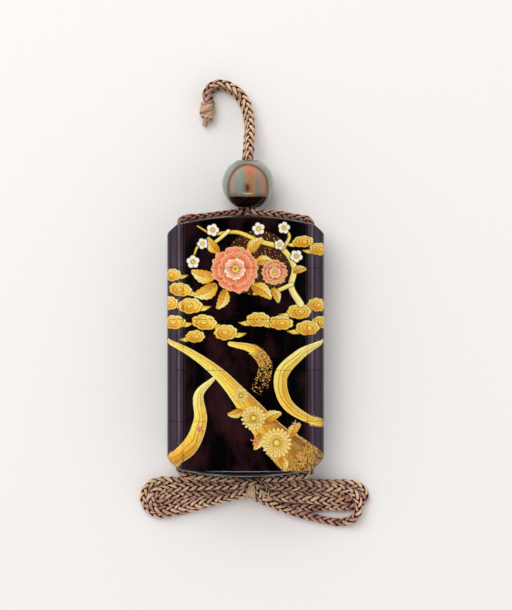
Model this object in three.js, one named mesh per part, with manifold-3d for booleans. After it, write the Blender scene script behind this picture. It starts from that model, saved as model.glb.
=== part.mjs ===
// An inro: a flat lacquered case of four stacking trays under a lid, lying on its back.
// One silk cord runs up through a channel in each side, over the lid, through the ojime bead
// and into an end knot. Below the case the same cord is gathered into a bow.
// Units are millimetres. X runs across the case, Y from its foot to its lid, Z up from the table.
import * as THREE from "three";
import { mergeVertices } from "three/addons/utils/BufferGeometryUtils.js";
import Module from "manifold-3d";

// Driving dimensions of the case
const HALF_WIDTH = 28;
const HALF_DEPTH = 12.5;
const LID_APEX = 46.9;
const FOOT_APEX = -46.8;
const FIRST_SEAM = 27.8;
const TRAY_HEIGHT = 18.15;
const TRAYS = 4;
const SEAM_GAP = 0.12;

// The plan section: a shallow arc, a bead moulding and a cord runner at each side
const FACE_HALF = 21.7;
const FACE_RADIUS = 65;
const REST_FLAT = 3;
const FACE_STEPS = 6;
const FACE_DROP = (FACE_HALF ** 2 - REST_FLAT ** 2) / (2 * FACE_RADIUS);
const FACE_EDGE = HALF_DEPTH - FACE_DROP;
const GROOVE = 0.55;
const MOULDING_END = 24.2;
const RUNNER_DROP = 1.5;

// The two ends: a domed plate, and a slanting cut across the runners
const LID_SAG = 3.04;
const FOOT_SAG = 2.3;
const SAG_AT = 23.5;
const DOME_RISE = 1.0;
const CUT_SIDE = 40.3;
const CUT_TOP = 44.0;
const CUT_IN = 23.7;

// The hollow inside
const HOLLOW_HALF_WIDTH = 19.4;
const HOLLOW_HALF_DEPTH = 9.4;
const HOLLOW_POWER = 3;
const HOLLOW_SIDES = 28;
const RISER_WALL = 1.0;
const RISER_CLEARANCE = 0.3;
const RISER_HEIGHT = 5;
const FLOOR = 1.6;
const LID_PLATE = 4.6;
const FOOT_PLATE = 4.0;

// Cord, channels and bead
const CORD_R = 1.35;
const CORD_SIDES = 8;
const CLEAR = 0.3;
const CHANNEL_X = 24;
const CHANNEL_R = 1.7;
const CHANNEL_END = 38.5;
const BEAD_R = 9.3;
const BEAD_AT = new THREE.Vector3(0.8, 58.2, BEAD_R);
const BORE_R = 3.25;
const MOUTH_R = 4.0;
const PAIR = 2 * CORD_R + CLEAR;
const PAIR_LEAN = THREE.MathUtils.degToRad(70);

// The bow below the foot: three loops to each side of a tight waist
const WAIST = new THREE.Vector3(2.6, -51.0, 5.0);
const WAIST_SIZE = [3.0, 4.3, 4.7];
const LOW = CORD_R + 0.25;
const MID = LOW + 0.9;
const HIGH = LOW + 2.2;
const LOOPS = [
  { side: -1, reach: 36.9, upper: -49.1, lower: -61.1, bend: 1.2, z: [LOW, LOW, LOW] },
  { side: -1, reach: 34.5, upper: -51.7, lower: -59.5, bend: 1.3, z: [MID, HIGH, HIGH] },
  { side: -1, reach: 32.0, upper: -54.3, lower: -57.0, bend: 1.6, z: [LOW, MID, MID] },
  { side: 1, reach: 43.1, upper: -49.9, lower: -58.2, bend: 5.0, z: [LOW, LOW, LOW] },
  { side: 1, reach: 41.2, upper: -52.0, lower: -63.8, bend: 2.0, z: [MID, HIGH, LOW] },
  { side: 1, reach: 37.4, upper: -53.9, lower: -56.0, bend: 2.2, z: [LOW, MID, HIGH] },
];
const LEAVES = [
  { upper: [2.5, 0.8, 0], lower: [-1.4, -2.6, 0] },
  { upper: [1.1, 2.0, 0], lower: [-0.7, 1.4, 0] },
  { upper: [-0.6, -0.4, -0.4], lower: [-1.1, -1.4, 0] },
  { upper: [2.4, 0.8, 0], lower: [-3.4, -2.6, -0.6] },
  { upper: [0.8, 2.0, 0.4], lower: [-2.2, 1.6, 0.4] },
  { upper: [-1.6, -0.4, -0.4], lower: [-2.0, 0.2, 0] },
];
const LEG_STEPS = 5;
const TIP_STEPS = 5;
const TIP_LENGTH = 6.2;
const TIP_POINT = 1.5;
const SETTLE = 2.2;

// The doubled cord between bead and end knot: the middle of the pair, as seen from above
const PAIR_ROUTE = [
  [1.1, 70.5],
  [1.2, 74.5],
  [1.4, 78.5],
  [0.9, 82.5],
  [0.2, 86.2],
  [-1.2, 89.2],
  [-3.2, 91.7],
  [-5.6, 93.4],
  [-8.0, 94.2],
  [-10.5, 94.1],
  [-12.5, 92.9],
  [-13.6, 91.0],
  [-13.9, 88.9],
];
const PAIR_SETTLES = 84;
const KNOT_TOP = new THREE.Vector3(-13.9, 88.4, 2.95);
const KNOT_PROFILE = [
  [0, 0],
  [2.0, 0],
  [2.8, 1.4],
  [2.9, 3.2],
  [2.6, 5.2],
  [1.9, 6.7],
  [0, 7.2],
];
const TAIL_ENDS = [
  [-15.0, 79.0, 1.5],
  [-12.4, 80.3, 2.6],
];
const TAIL_R = 1.15;

const LACQUER = new THREE.MeshStandardMaterial({ color: 0x17100f, roughness: 0.22, metalness: 0 });
const AGATE = new THREE.MeshStandardMaterial({ color: 0x7a4f33, roughness: 0.12, metalness: 0 });
const SILK = new THREE.MeshStandardMaterial({ color: 0x93765f, roughness: 0.8, metalness: 0 });

const wasm = await Module();
wasm.setup();

// A closed geometry as a solid that can be cut and joined.
function solid(geometry) {
  const bare = geometry.clone();
  bare.deleteAttribute("normal");
  bare.deleteAttribute("uv");
  const merged = mergeVertices(bare, 1e-4);
  return new wasm.Manifold(
    new wasm.Mesh({
      numProp: 3,
      vertProperties: new Float32Array(merged.attributes.position.array),
      triVerts: new Uint32Array(merged.index.array),
    }),
  );
}

function geometryOf(made) {
  const mesh = made.getMesh();
  const geometry = new THREE.BufferGeometry();
  geometry.setAttribute("position", new THREE.BufferAttribute(mesh.vertProperties, 3));
  geometry.setIndex(new THREE.BufferAttribute(mesh.triVerts, 1));
  geometry.computeVertexNormals();
  return geometry;
}

// Half of the section from the middle of the face to the side, as [x, height over the middle plane].
function quarterSection() {
  const points = [];
  for (let i = 0; i <= FACE_STEPS; i++) {
    const x = REST_FLAT + ((FACE_HALF - REST_FLAT) * i) / FACE_STEPS;
    points.push([x, HALF_DEPTH - (x ** 2 - REST_FLAT ** 2) / (2 * FACE_RADIUS)]);
  }
  const moulding = MOULDING_END - FACE_HALF;
  const runner = FACE_EDGE - RUNNER_DROP;
  points.push([FACE_HALF + 0.1 * moulding, FACE_EDGE - GROOVE]);
  points.push([FACE_HALF + 0.3 * moulding, FACE_EDGE - 0.25 * GROOVE]);
  points.push([FACE_HALF + 0.6 * moulding, FACE_EDGE - 0.4 * GROOVE]);
  points.push([FACE_HALF + 0.9 * moulding, FACE_EDGE - 1.5 * GROOVE]);
  points.push([MOULDING_END, runner]);
  points.push([HALF_WIDTH - 1.4, runner - 1.7]);
  points.push([HALF_WIDTH - 0.4, runner - 3.1]);
  points.push([HALF_WIDTH, runner - 4.9]);
  return points;
}

function caseSection() {
  const front = quarterSection();
  const back = front.map(([x, z]) => [x, -z]).reverse();
  const right = [...front, ...back];
  const left = right.map(([x, z]) => [-x, z]).reverse();
  return [...right, ...left];
}

function hollowSection(grow) {
  const points = [];
  for (let i = 0; i < HOLLOW_SIDES; i++) {
    const a = (2 * Math.PI * (i + 0.5)) / HOLLOW_SIDES;
    const reach = (c) => Math.sign(c) * Math.abs(c) ** (2 / HOLLOW_POWER);
    points.push([
      (HOLLOW_HALF_WIDTH + grow) * reach(Math.cos(a)),
      (HOLLOW_HALF_DEPTH + grow) * reach(Math.sin(a)),
    ]);
  }
  return points;
}

// A section swept along Y, from one level to another.
function prism(section, from, to) {
  const shape = new THREE.Shape(section.map(([x, z]) => new THREE.Vector2(x, z)));
  const geometry = new THREE.ExtrudeGeometry(shape, { depth: to - from, bevelEnabled: false });
  geometry.rotateX(-Math.PI / 2);
  geometry.translate(0, from, HALF_DEPTH);
  return solid(geometry);
}

function channel(side) {
  const hole = new THREE.CylinderGeometry(CHANNEL_R, CHANNEL_R, 120, 12);
  hole.translate(side * CHANNEL_X, 0, HALF_DEPTH);
  return solid(hole);
}

// What an end plate may fill: inside a flat ellipsoid, whose pole is the plate's apex.
function endPlate(apex, sag) {
  const tall = 22;
  const dome = new THREE.SphereGeometry(1, 36, 24);
  dome.scale(SAG_AT * Math.sqrt(tall / (2 * sag)), tall, HALF_DEPTH * Math.sqrt(tall / (2 * DOME_RISE)));
  dome.translate(0, apex - Math.sign(apex) * tall, HALF_DEPTH);
  return solid(dome);
}

// The front outline with its four slanting corners.
function cutCorners() {
  const slope = (CUT_TOP - CUT_SIDE) / (HALF_WIDTH - CUT_IN);
  const beyond = 8;
  const quarter = [
    [HALF_WIDTH + 1, CUT_SIDE - slope],
    [CUT_IN - beyond, CUT_TOP + slope * beyond],
  ];
  const outline = [
    ...quarter,
    ...quarter.map(([x, y]) => [-x, y]).reverse(),
    ...quarter.map(([x, y]) => [-x, -y]),
    ...quarter.map(([x, y]) => [x, -y]).reverse(),
  ];
  const shape = new THREE.Shape(outline.map(([x, y]) => new THREE.Vector2(x, y)));
  const geometry = new THREE.ExtrudeGeometry(shape, { depth: 60, bevelEnabled: false });
  geometry.translate(0, 0, -20);
  return solid(geometry);
}

const seam = (i) => FIRST_SEAM - TRAY_HEIGHT * i;

function lid() {
  const from = seam(0) + SEAM_GAP / 2;
  let made = prism(caseSection(), from, LID_APEX + 1);
  made = made.intersect(endPlate(LID_APEX, LID_SAG)).intersect(cutCorners());
  const hollow = hollowSection(RISER_WALL + RISER_CLEARANCE);
  return made.subtract(prism(hollow, from - 1, LID_APEX - LID_PLATE));
}

// Tray i, counted from the lid: a floor, walls, a recess for the tray below and a riser for the one above.
function tray(i) {
  const last = i === TRAYS;
  const top = seam(i - 1) - SEAM_GAP / 2;
  const bottom = last ? FOOT_APEX : seam(i) + SEAM_GAP / 2;
  const recess = bottom + RISER_HEIGHT + CLEAR;
  const floor = last ? FOOT_APEX + FOOT_PLATE : recess + FLOOR;
  let made = prism(caseSection(), last ? bottom - 1 : bottom, top);
  if (last) made = made.intersect(endPlate(FOOT_APEX, FOOT_SAG)).intersect(cutCorners());
  made = made.add(prism(hollowSection(RISER_WALL), floor + 1, top + RISER_HEIGHT));
  made = made.subtract(prism(hollowSection(0), floor, top + RISER_HEIGHT + 1));
  if (last) return made;
  return made.subtract(prism(hollowSection(RISER_WALL + RISER_CLEARANCE), bottom - 1, recess));
}

function bead() {
  const profile = [];
  const mouth = Math.asin(MOUTH_R / BEAD_R);
  const steps = 10;
  for (let i = 0; i <= steps; i++) {
    const a = mouth + ((Math.PI - 2 * mouth) * i) / steps;
    profile.push(new THREE.Vector2(BEAD_R * Math.sin(a), -BEAD_R * Math.cos(a)));
  }
  const rim = BEAD_R * Math.cos(mouth);
  const flare = [
    [0.5, 0.1],
    [0.1, 0.6],
    [0, 1.3],
  ];
  const inner = flare.map(([out, down]) => [BORE_R + out * (MOUTH_R - BORE_R), rim - down]);
  inner.forEach(([r, y]) => profile.push(new THREE.Vector2(r, y)));
  inner.reverse().forEach(([r, y]) => profile.push(new THREE.Vector2(r, -y)));
  profile.push(profile[0].clone());
  const geometry = new THREE.LatheGeometry(profile, 24);
  geometry.translate(BEAD_AT.x, BEAD_AT.y, BEAD_AT.z);
  return solid(geometry);
}

function tube(points, steps, radius = CORD_R) {
  const outline = new THREE.Shape();
  for (let i = 0; i < CORD_SIDES; i++) {
    const a = (2 * Math.PI * i) / CORD_SIDES;
    if (i === 0) outline.moveTo(radius, 0);
    else outline.lineTo(radius * Math.cos(a), radius * Math.sin(a));
  }
  outline.closePath();
  const path = new THREE.CatmullRomCurve3(points, false, "centripetal");
  return solid(new THREE.ExtrudeGeometry(outline, { steps, extrudePath: path, bevelEnabled: false }));
}

// Height of an end plate's surface at x, in the middle of its depth.
const domeAt = (apex, sag, x) => apex - Math.sign(apex) * sag * (x / SAG_AT) ** 2;

// From a channel's mouth along the end plate towards the middle, its height falling evenly.
function alongPlate(side, apex, sag, toX, toZ) {
  const end = Math.sign(apex);
  const lift = CORD_R + CLEAR + 0.05;
  const mouth = [
    [CHANNEL_X, CHANNEL_END + CLEAR],
    [CHANNEL_X, CUT_TOP - 1.0],
    [CHANNEL_X - 0.15, CUT_TOP + 0.8],
    [CHANNEL_X - 1.15, CUT_TOP + 2.1],
  ];
  const points = mouth.map(([x, y]) => new THREE.Vector3(side * x, end * y, HALF_DEPTH));
  const from = CHANNEL_X - 3.2;
  const steps = 4;
  for (let i = 0; i <= steps; i++) {
    const x = from + ((toX - from) * i) / steps;
    const y = domeAt(apex, sag, x) + end * lift;
    const fall = (from - x) / (from - toX);
    const early = i === 0 ? end * 0.35 : 0;
    points.push(new THREE.Vector3(side * x, y + early, HALF_DEPTH + (toZ - HALF_DEPTH) * fall ** 1.2));
  }
  return points;
}

// Where one cord of the pair lies, with the pair's middle at a point and the way it runs.
function beside(middle, way, side) {
  const across = new THREE.Vector3(way.y, -way.x, 0).normalize();
  const offset = across.multiplyScalar(Math.cos(PAIR_LEAN)).add(new THREE.Vector3(0, 0, Math.sin(PAIR_LEAN)));
  return middle.clone().addScaledVector(offset, (side * PAIR) / 2);
}

// One side's cord from its channel over the lid, through the bead and on to the end knot.
function upperCord(side) {
  const up = new THREE.Vector3(0, 1, 0);
  const lane = beside(BEAD_AT, up, side);
  const points = alongPlate(side, LID_APEX, LID_SAG, 6.2, lane.z + 0.6);
  points.push(new THREE.Vector3(BEAD_AT.x + side * 2.3, LID_APEX + 1.85, lane.z + 0.25 * side));
  points.push(new THREE.Vector3(BEAD_AT.x + side * 0.5, LID_APEX + 3.0, lane.z));
  for (const along of [-BEAD_R / 2, 0, BEAD_R / 2, BEAD_R]) {
    points.push(new THREE.Vector3(lane.x, BEAD_AT.y + along, lane.z));
  }
  const settled = CORD_R + 0.15 + (Math.sin(PAIR_LEAN) * PAIR) / 2;
  const route = PAIR_ROUTE.map(([x, y]) => new THREE.Vector3(x, y, settled));
  route.forEach((p, i) => {
    if (i < 5) {
      const left = Math.max(0, (PAIR_SETTLES - p.y) / (PAIR_SETTLES - BEAD_AT.y - BEAD_R));
      p.z += (BEAD_AT.z - settled) * Math.min(1, left * left * (3 - 2 * left));
    }
    const way = (route[i + 1] ?? p).clone().sub(route[i - 1] ?? p);
    points.push(beside(p, way, side));
  });
  return tube(points, 46);
}

function endKnot() {
  const profile = KNOT_PROFILE.map(([r, y]) => new THREE.Vector2(r, -y)).reverse();
  const body = new THREE.LatheGeometry(profile, 14);
  body.translate(KNOT_TOP.x, KNOT_TOP.y - CLEAR, KNOT_TOP.z);
  let made = solid(body);
  for (const end of TAIL_ENDS) {
    const to = new THREE.Vector3(...end);
    const from = new THREE.Vector3(KNOT_TOP.x, to.y + 4, 2.4);
    made = made.add(tube([from, from.clone().lerp(to, 0.5), to], 2, TAIL_R));
  }
  return made;
}

// One loop of the bow: out along its upper leg, round its tip and back along its lower leg.
// Each leg leaves the waist by its shift in y and z, and dips on its way.
function loopRoute({ side, reach, upper, lower, bend, z }, leaves) {
  const half = (upper - lower) / 2;
  const tip = Math.min(TIP_LENGTH, half + TIP_POINT);
  const turn = side * (reach - tip);
  const leg = ([dy, dz, dip], level, height) =>
    Array.from({ length: LEG_STEPS }, (_, i) => {
      const t = i / LEG_STEPS;
      const spread = 1 - (1 - t) ** bend;
      return new THREE.Vector3(
        THREE.MathUtils.lerp(WAIST.x, turn, t),
        THREE.MathUtils.lerp(WAIST.y + dy, level, spread) + dip * Math.sin(Math.PI * t),
        THREE.MathUtils.lerp(WAIST.z + dz, height, 1 - (1 - t) ** SETTLE),
      );
    });
  const round = Array.from({ length: TIP_STEPS + 1 }, (_, i) => {
    const a = (Math.PI * i) / TIP_STEPS;
    const height = THREE.MathUtils.lerp(z[0], z[2], i / TIP_STEPS);
    return new THREE.Vector3(
      turn + side * tip * Math.sin(a),
      lower + half + half * Math.cos(a),
      THREE.MathUtils.lerp(height, z[1], Math.sin(a)),
    );
  });
  return [...leg(leaves.upper, upper, z[0]), ...round, ...leg(leaves.lower, lower, z[2]).reverse()];
}

function bow() {
  const waist = new THREE.SphereGeometry(1, 12, 10);
  waist.scale(...WAIST_SIZE);
  waist.translate(WAIST.x, WAIST.y, WAIST.z);
  let made = solid(waist);
  LOOPS.forEach((loop, i) => {
    made = made.add(tube(loopRoute(loop, LEAVES[i]), 18));
  });
  for (const side of [-1, 1]) {
    const points = alongPlate(side, FOOT_APEX, FOOT_SAG, 5, 7.6);
    points.push(WAIST.clone().add(new THREE.Vector3(0, 1.2, 1.2)));
    made = made.add(tube(points, 16));
  }
  return made;
}

const inro = new THREE.Group();

function place(name, made, material, parent = inro) {
  const mesh = new THREE.Mesh(geometryOf(made), material);
  mesh.name = name;
  parent.add(mesh);
}

const box = new THREE.Group();
inro.add(box);
const channels = channel(-1).add(channel(1));
place("lid", lid().subtract(channels), LACQUER, box);
for (let i = 1; i <= TRAYS; i++) place(`tray_${i}`, tray(i).subtract(channels), LACQUER, box);

const cord = new THREE.Group();
inro.add(cord);
place("ojime_bead", bead(), AGATE, cord);
for (const [name, side] of [
  ["left", -1],
  ["right", 1],
]) {
  const x = side * CHANNEL_X;
  const ends = [-CHANNEL_END, 0, CHANNEL_END].map((y) => new THREE.Vector3(x, y, HALF_DEPTH));
  place(`cord_upper_${name}`, upperCord(side), SILK, cord);
  place(`cord_in_channel_${name}`, tube(ends, 2), SILK, cord);
}
place("end_knot", endKnot(), SILK, cord);
place("bow", bow(), SILK, cord);

export default inro;
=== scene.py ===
"""An inro on its back: a lacquered lid and four trays, a silk cord, a stone bead and a bow.

Everything lies in the part's frame: X across the case, Y from its foot to its lid, Z up from the
table. Sizes are in millimetres and become metres where a mesh is made.
"""

import math

import bpy
import numpy as np
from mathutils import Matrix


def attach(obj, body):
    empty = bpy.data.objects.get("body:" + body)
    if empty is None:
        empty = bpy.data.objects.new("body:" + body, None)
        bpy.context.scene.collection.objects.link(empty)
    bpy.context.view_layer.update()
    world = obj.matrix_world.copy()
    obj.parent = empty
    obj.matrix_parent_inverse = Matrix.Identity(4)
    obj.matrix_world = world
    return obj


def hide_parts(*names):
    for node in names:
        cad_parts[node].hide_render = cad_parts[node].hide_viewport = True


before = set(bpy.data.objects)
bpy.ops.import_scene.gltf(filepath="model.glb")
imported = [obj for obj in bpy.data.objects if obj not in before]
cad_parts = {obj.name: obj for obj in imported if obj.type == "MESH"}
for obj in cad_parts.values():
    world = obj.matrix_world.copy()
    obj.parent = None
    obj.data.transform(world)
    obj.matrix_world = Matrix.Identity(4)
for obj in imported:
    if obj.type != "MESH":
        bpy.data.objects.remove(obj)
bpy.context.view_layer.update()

MM = 0.001
SEED = 7

# The case, as the solids have it
HALF_WIDTH = 28.0
HALF_DEPTH = 12.5
LID_APEX = 46.9
FOOT_APEX = -46.8
FIRST_SEAM = 27.8
TRAY_HEIGHT = 18.15
TRAYS = 4
SEAM_GAP = 0.12
FACE_HALF = 21.7
FACE_RADIUS = 65.0
REST_FLAT = 3.0
FACE_EDGE = HALF_DEPTH - (FACE_HALF**2 - REST_FLAT**2) / (2 * FACE_RADIUS)
GROOVE = 0.55
MOULDING_END = 24.2
RUNNER_DROP = 1.5
SHOULDER_IN = 1.4
SHOULDER_DROP = 1.7
LID_SAG = 3.04
FOOT_SAG = 2.3
SAG_AT = 23.5
DOME_RISE = 1.0
CUT_SIDE = 40.3
CUT_TOP = 44.0
CUT_IN = 23.7
HOLLOW_HALF_WIDTH = 19.4
HOLLOW_HALF_DEPTH = 9.4
HOLLOW_POWER = 3
RISER_WALL = 1.0
RISER_CLEARANCE = 0.3
RISER_HEIGHT = 5.0
FLOOR = 1.6
LID_PLATE = 4.6
FOOT_PLATE = 4.0
SEAM_ROUND = 0.08
SEAM_STEPS = 4
WALL_PITCH = 0.2
LID_ROUND = 0.55
FOOT_ROUND = 1.2

# Cord, channels and bead
CORD_R = 1.35
CLEAR = 0.3
CHANNEL_X = 24.0
CHANNEL_R = 1.7
CHANNEL_END = 38.5
DRILL_SIDES = 40
DRILL_REACH = 60.0
BEAD_R = 9.3
BEAD_AT = np.array([0.8, 58.2, BEAD_R])
BORE_R = 3.25
MOUTH_R = 4.0
PAIR = 2 * CORD_R + CLEAR
PAIR_LEAN = math.radians(70)

# The bow
WAIST = np.array([2.6, -51.0, 5.0])
LOW = CORD_R + 0.25
MID = LOW + 0.9
HIGH = LOW + 2.2
LOOPS = [
    dict(side=-1, reach=36.9, upper=-49.1, lower=-61.1, bend=1.2, z=(LOW, LOW, LOW)),
    dict(side=-1, reach=34.5, upper=-51.7, lower=-59.5, bend=1.3, z=(MID, HIGH, HIGH)),
    dict(side=-1, reach=32.0, upper=-54.3, lower=-57.0, bend=1.6, z=(LOW, MID, MID)),
    dict(side=1, reach=43.1, upper=-49.9, lower=-58.2, bend=5.0, z=(LOW, LOW, LOW)),
    dict(side=1, reach=41.2, upper=-52.0, lower=-63.8, bend=2.0, z=(MID, HIGH, LOW)),
    dict(side=1, reach=37.4, upper=-53.9, lower=-56.0, bend=2.2, z=(LOW, MID, HIGH)),
]
LEAVES = [
    ((2.5, 0.8, 0), (-1.4, -2.6, 0)),
    ((1.1, 2.0, 0), (-0.7, 1.4, 0)),
    ((-0.6, -0.4, -0.4), (-1.1, -1.4, 0)),
    ((2.4, 0.8, 0), (-3.4, -2.6, -0.6)),
    ((0.8, 2.0, 0.4), (-2.2, 1.6, 0.4)),
    ((-1.6, -0.4, -0.4), (-2.0, 0.2, 0)),
]
LEG_STEPS = 5
TIP_STEPS = 5
TIP_LENGTH = 6.2
TIP_POINT = 1.5
SETTLE = 2.2

# The doubled cord between bead and end knot
PAIR_ROUTE = [
    (1.1, 70.5), (1.2, 74.5), (1.4, 78.5), (0.9, 82.5), (0.2, 86.2), (-1.2, 89.2), (-3.2, 91.7),
    (-5.6, 93.4), (-8.0, 94.2), (-10.5, 94.1), (-12.5, 92.9), (-13.6, 91.0), (-13.9, 88.9),
]
PAIR_SETTLES = 84
PAIR_FALLS = 5
KNOT_TOP = np.array([-13.9, 88.4, 2.95])
TAIL_ENDS = [(-15.0, 79.0, 1.5), (-12.4, 80.3, 2.6)]

# The braid: four columns of leaning stitches round a core
STITCH_PITCH = 3.0
STITCH_LONG = 4.2
STITCH_SWING = 0.92
STITCH_WIDE = 0.74
STITCH_HIGH = 0.50
STITCH_OUT = 1.10
STITCH_SINK = 0.30
STITCH_RINGS = 11
STITCH_ANGLES = np.radians([270, 340, 20, 56, 90, 124, 160, 200])
CORE_R = 0.92
BRAID_STEP = 0.32
YARN_STEP = 0.3
TWIST, TWIST_RUN = 0.4, 8.5
UNEVEN, UNEVEN_RUN = 0.05, 2.9
SWAY, SWAY_RUN = 0.16, 3.7
STEADY_END = 12
PLATE_STEPS = 4
PRESSED = 0.18
FLAT_REST = 0.75
MOUTH_INNER = 0.45

rng = np.random.default_rng(SEED)


# --- camera, light and floor ---

CAMERA_HEIGHT = 900.0
VIEW_HEIGHT = 218.4
VIEW_AT = (3.7, 14.7)
LAMP_AWAY = 1.5
LAMPS = [("key", 122, 56, 15.8, 1.2), ("fill", -40, 62, 6.8, 2.4)]
TABLE_HALF = 2.0


def linked(name, data):
    """A new object in the scene."""
    made = bpy.data.objects.new(name, data)
    bpy.context.scene.collection.objects.link(made)
    return made


def make_camera():
    """Straight above the part, far off, as the photograph was taken."""
    data = bpy.data.cameras.new("camera")
    data.sensor_fit = "AUTO"
    data.sensor_width = 36
    data.lens = data.sensor_width * CAMERA_HEIGHT / VIEW_HEIGHT
    camera = linked("camera", data)
    camera.location = (VIEW_AT[0] * MM, VIEW_AT[1] * MM, (CAMERA_HEIGHT + HALF_DEPTH) * MM)
    bpy.context.scene.camera = camera


def make_light():
    """A dark ceiling over bright walls, so that polished lacquer seen from above stays black."""
    world = bpy.data.worlds.new("studio")
    bpy.context.scene.world = world
    world.use_nodes = True
    tree = world.node_tree
    background = tree.nodes["Background"]
    place = tree.nodes.new("ShaderNodeTexCoord")
    split = tree.nodes.new("ShaderNodeSeparateXYZ")
    ramp = tree.nodes.new("ShaderNodeValToRGB")
    walls, ceiling = ramp.color_ramp.elements
    walls.position, walls.color = 0.35, (1.0, 0.985, 0.97, 1)
    ceiling.position, ceiling.color = 0.85, (0.05, 0.05, 0.055, 1)
    tree.links.new(place.outputs["Generated"], split.inputs[0])
    tree.links.new(split.outputs["Z"], ramp.inputs[0])
    tree.links.new(ramp.outputs["Color"], background.inputs["Color"])
    background.inputs["Strength"].default_value = 1.0

    for name, azimuth, lift, power, size in LAMPS:
        light = bpy.data.lights.new(name, "AREA")
        light.energy, light.size = power, size
        lamp = linked(name, light)
        a, e = math.radians(azimuth), math.radians(lift)
        way = np.array([math.cos(a) * math.cos(e), math.sin(a) * math.cos(e), math.sin(e)])
        lamp.location = way * LAMP_AWAY
        lamp.rotation_euler = (math.pi / 2 - e, 0, a + math.pi / 2)
        lamp.visible_glossy = False


# --- materials ---

class Shader:
    """A material's node tree, built up by short calls."""

    def __init__(self, name):
        self.material = bpy.data.materials.new(name)
        self.material.use_nodes = True
        self.tree = self.material.node_tree
        self.surface = self.tree.nodes["Principled BSDF"]

    def set(self, socket, value):
        if isinstance(value, bpy.types.NodeSocket):
            self.tree.links.new(value, socket)
        elif hasattr(value, "__len__") and len(value) == 3 and socket.type == "RGBA":
            socket.default_value = (*value, 1)
        else:
            socket.default_value = value

    def node(self, kind, inputs=(), **settings):
        made = self.tree.nodes.new(kind)
        for key, value in settings.items():
            setattr(made, key, value)
        for key, value in dict(inputs).items():
            self.set(made.inputs[key], value)
        return made

    def attribute(self, name, output="Fac"):
        return self.node("ShaderNodeAttribute", attribute_name=name).outputs[output]

    def place(self, scale=(1, 1, 1), output="Object"):
        coordinates = self.node("ShaderNodeTexCoord").outputs[output]
        return self.node("ShaderNodeMapping", {"Vector": coordinates, "Scale": scale}).outputs[0]

    def noise(self, where, scale, detail=3, rough=0.55):
        made = self.node(
            "ShaderNodeTexNoise",
            {"Vector": where, "Scale": scale, "Detail": detail, "Roughness": rough},
        )
        return made.outputs["Fac"]

    def math(self, operation, a, b=0.0):
        return self.node("ShaderNodeMath", {0: a, 1: b}, operation=operation).outputs[0]

    def range(self, value, low, high, to_low=0.0, to_high=1.0):
        inputs = {"Value": value, "From Min": low, "From Max": high, "To Min": to_low, "To Max": to_high}
        return self.node("ShaderNodeMapRange", inputs).outputs[0]

    def mix(self, share, a, b):
        made = self.node("ShaderNodeMix", data_type="RGBA")
        self.set(made.inputs[0], share)
        self.set(made.inputs[6], a)
        self.set(made.inputs[7], b)
        return made.outputs[2]

    def ramp(self, value, *stops):
        """A colour for each value, through stops of a position and a colour's three parts."""
        made = self.node("ShaderNodeValToRGB", {"Fac": value})
        elements = made.color_ramp.elements
        while len(elements) < len(stops):
            elements.new(0.5)
        for element, (position, *colour) in zip(elements, stops):
            element.position = position
            element.color = (*colour, 1)
        return made.outputs["Color"]

    def bump(self, height, distance, strength):
        inputs = {"Height": height, "Distance": distance, "Strength": strength}
        return self.node("ShaderNodeBump", inputs).outputs[0]

    def finish(self, **inputs):
        for key, value in inputs.items():
            self.set(self.surface.inputs[key.replace("_", " ").title().replace("Ior", "IOR")], value)
        return self.material


def silk():
    """Faded silk, tan and pink by patches, with painted shade in the gaps and where a stitch slips under the
    next one.
    """
    s = Shader("braided_silk")
    fibre = s.noise(s.place((42, 0.5, 1), "UV"), 1.0, 2, 0.6)
    patch = s.noise(s.place(), 120, 4, 0.65)
    stain = s.noise(s.place(), 75, 2)
    speck = s.noise(s.place(), 900, 2)
    tone = s.attribute("tone")
    clear = s.attribute("open")
    faded = s.ramp(
        patch,
        (0.33, 0.45, 0.21, 0.16), (0.41, 0.68, 0.37, 0.27), (0.48, 0.96, 0.65, 0.48),
        (0.55, 0.90, 0.64, 0.34), (0.62, 0.90, 0.55, 0.43), (0.72, 0.44, 0.20, 0.17),
    )
    strand = s.mix(s.range(tone, 0.2, 1.0, 0.0, 0.9), faded, (0.30, 0.105, 0.060))
    greened = s.mix(s.range(stain, 0.64, 0.70, 0.0, 0.75), strand, (0.075, 0.095, 0.045))
    worn = s.mix(s.range(speck, 0.50, 0.75, 0.0, 0.30), greened, (0.76, 0.60, 0.46))
    fine = s.mix(s.range(fibre, 0.38, 0.66, 0.0, 0.5), worn, (0.17, 0.075, 0.055))
    # painted shade: reddish brown on a stitch's flanks and near black in the gaps, by each point's share
    # unshaded
    shaded_flank = s.mix(s.range(clear, 0.30, 0.90, 0.75, 0.0), fine, (0.15, 0.036, 0.022))
    colour = s.mix(s.range(clear, 0.14, 0.46), (0.010, 0.002, 0.001), shaded_flank)
    return s.finish(
        base_color=colour,
        roughness=0.65,
        normal=s.bump(fibre, 0.00012, 0.6),
        specular_ior_level=0.18,
        sheen_weight=0.04,
        sheen_roughness=0.4,
    )


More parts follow.
